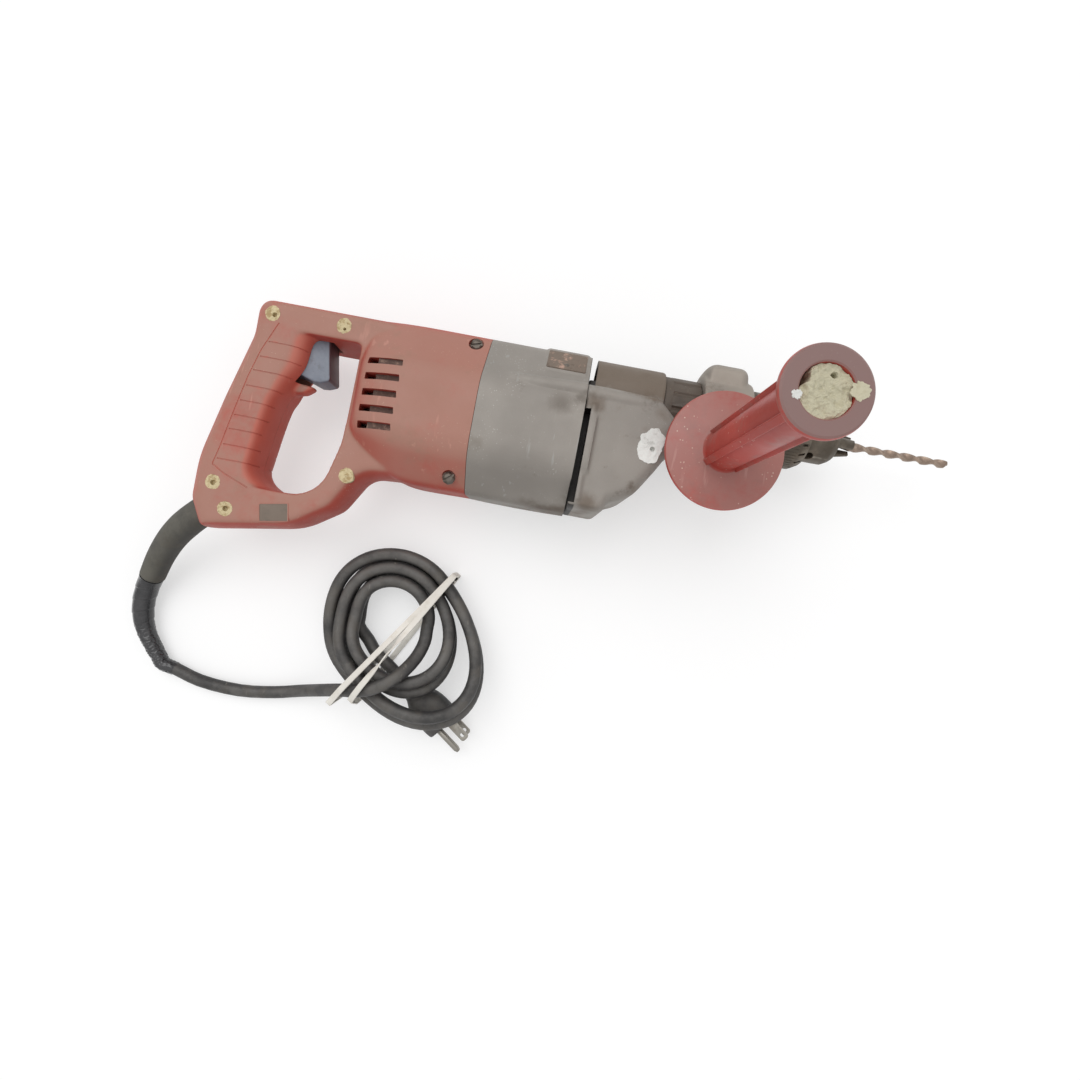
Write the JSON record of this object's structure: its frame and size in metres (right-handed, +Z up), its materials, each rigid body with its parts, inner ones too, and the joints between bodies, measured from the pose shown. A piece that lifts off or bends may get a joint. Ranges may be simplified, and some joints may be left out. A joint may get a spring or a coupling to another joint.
{
  "type": "hammer drill",
  "caption": "Corded hammer drill with a closed rear handle, cast motor and gear housings, a keyed chuck holding a twist bit, a clamped side handle and a banded coil of cord with its plug.",
  "frame": {"origin": "on the flat left side of the motor casting, below the motor axis, half way along the casting", "axes": "+X along the spindle towards the bit, +Y towards the tool's top, +Z up from the surface it lies on, towards the tool's right side"},
  "size_m": [0.5512, 0.3007, 0.212],
  "materials": {
    "red_plastic": "dusty satin red moulding",
    "handle_red": "scuffed red plastic with grey dust",
    "cast_grey": "worn grey painted die casting",
    "grimy_casting": "die casting under brown grime",
    "dark_steel": "oil-blackened steel",
    "bright_steel": "ground steel",
    "bit_steel": "browned tool steel",
    "grey_plastic": "dusty grey moulding",
    "black_plastic": "black moulding",
    "cord_rubber": "dusty black cord rubber",
    "guard_rubber": "dusty black guard rubber",
    "tape_black": "glossy wound tape",
    "plaster": "dried cream filler",
    "copper": "varnished copper",
    "carbon": "pressed carbon",
    "band_white": "pale rubber"
  },
  "bodies": {
    "tool_body": {"housing_right": "red_plastic", "housing_left": "red_plastic", "housing_screw_rear_top": "dark_steel", "housing_screw_front_top": "dark_steel", "housing_screw_rear_lower": "dark_steel", "housing_screw_foot": "dark_steel", "housing_screw_front_lower": "dark_steel", "housing_screw_joint_top": "dark_steel", "housing_screw_joint_bottom": "dark_steel", "switch_body": "black_plastic", "motor_casting": "cast_grey", "gearcase": "grimy_casting", "bearing_plate": "cast_grey", "field_stack": "dark_steel", "field_winding_upper": "copper", "field_winding_lower": "copper", "armature_rear_bearing": "bright_steel", "armature_front_bearing": "bright_steel", "brush_upper": "carbon", "brush_lower": "carbon", "brush_holder_upper": "copper", "brush_holder_lower": "copper", "hammer_spring": "bright_steel", "fixed_ratchet": "bright_steel", "nose_sleeve": "cast_grey", "spindle_bearing": "bright_steel", "cord_guard": "guard_rubber", "tape_wrap": "tape_black", "cord_run": "cord_rubber", "cord_coil": "cord_rubber", "plug_body": "black_plastic", "plug_pin": "bright_steel", "plug_blade_upper": "bright_steel", "plug_blade_lower": "bright_steel", "rubber_band": "band_white"},
    "armature": {"armature_shaft": "bright_steel", "armature_core": "dark_steel", "armature_winding": "copper", "commutator": "copper", "fan": "black_plastic"},
    "idler": {"idler_gear": "bright_steel", "idler_pinion": "bright_steel"},
    "thrust": {"thrust_washer": "bright_steel"},
    "spindle": {"spindle": "bright_steel", "spindle_gear": "bright_steel", "moving_ratchet": "bright_steel", "chuck_body": "dark_steel", "twist_bit": "bit_steel"},
    "chuck_sleeve": {"chuck_sleeve": "dark_steel", "chuck_nut": "bright_steel"},
    "jaw_1": {"chuck_jaw_1": "bright_steel"},
    "jaw_2": {"chuck_jaw_2": "bright_steel"},
    "jaw_3": {"chuck_jaw_3": "bright_steel"},
    "mode_ring": {"mode_ring": "dark_steel"},
    "clamp": {"clamp_ring": "cast_grey", "clamp_stud": "bright_steel"},
    "side_handle": {"side_handle": "handle_red", "handle_filler": "plaster"},
    "trigger": {"trigger": "grey_plastic"},
    "lock_button": {"lock_button": "black_plastic"}
  },
  "joints": [
    {"name": "armature_spin", "type": "hinge", "parent": "tool_body", "child": "armature", "pos_m": [0, 0, 0.042], "axis": [1, 0, 0], "continuous": true},
    {"name": "idler_spin", "type": "hinge", "parent": "tool_body", "child": "idler", "pos_m": [0.05, 0.01504, 0.03211], "axis": [1, 0, 0], "continuous": true},
    {"name": "thrust_slide", "type": "slide", "parent": "tool_body", "child": "thrust", "axis": [-1, 0, 0], "range_m": [0, 0.0015], "stiffness_N_per_m": 15000, "springref_m": -0.001, "deforming": ["hammer_spring"]},
    {"name": "spindle_spin", "type": "hinge", "parent": "thrust", "child": "spindle", "pos_m": [0.1, 0.038, 0.042], "axis": [1, 0, 0], "continuous": true},
    {"name": "chuck_sleeve_turn", "type": "hinge", "parent": "spindle", "child": "chuck_sleeve", "pos_m": [0.167, 0.038, 0.042], "axis": [1, 0, 0], "range_deg": [0, 1693]},
    {"name": "jaw_1_slide", "type": "slide", "parent": "spindle", "child": "jaw_1", "axis": [-0.9744, 0, 0.225], "range_m": [0, 0.01411]},
    {"name": "jaw_2_slide", "type": "slide", "parent": "spindle", "child": "jaw_2", "axis": [-0.9744, -0.1948, -0.1125], "range_m": [0, 0.01411]},
    {"name": "jaw_3_slide", "type": "slide", "parent": "spindle", "child": "jaw_3", "axis": [-0.9744, 0.1948, -0.1125], "range_m": [0, 0.01411]},
    {"name": "mode_ring_turn", "type": "hinge", "parent": "tool_body", "child": "mode_ring", "pos_m": [0.095, 0.038, 0.042], "axis": [1, 0, 0], "range_deg": [0, 40]},
    {"name": "clamp_turn", "type": "hinge", "parent": "tool_body", "child": "clamp", "pos_m": [0.1237, 0.038, 0.042], "axis": [1, 0, 0], "range_deg": [-180, 0]},
    {"name": "side_handle_turn", "type": "hinge", "parent": "clamp", "child": "side_handle", "pos_m": [0.1211, 0.009, 0.1], "axis": [0, 0, 1], "range_deg": [0, 360]},
    {"name": "trigger_pull", "type": "hinge", "parent": "tool_body", "child": "trigger", "pos_m": [-0.15, 0.043, 0.042], "axis": [0, 0, -1], "range_deg": [0, 12], "stiffness_Nm_per_rad": 0.5, "springref_deg": -5.73},
    {"name": "lock_button_press", "type": "slide", "parent": "tool_body", "child": "lock_button", "axis": [0, 0, 1], "range_m": [0, 0.0025], "stiffness_N_per_m": 800, "springref_m": -0.001}
  ],
  "couplings": [
    {"joint": "idler_spin", "follows": "armature_spin", "ratio": -0.2},
    {"joint": "spindle_spin", "follows": "armature_spin", "ratio": 0.063158},
    {"joint": "jaw_1_slide", "follows": "chuck_sleeve_turn", "m_per_rad": 0.00047746},
    {"joint": "jaw_2_slide", "follows": "chuck_sleeve_turn", "m_per_rad": 0.00047746},
    {"joint": "jaw_3_slide", "follows": "chuck_sleeve_turn", "m_per_rad": 0.00047746}
  ]
}
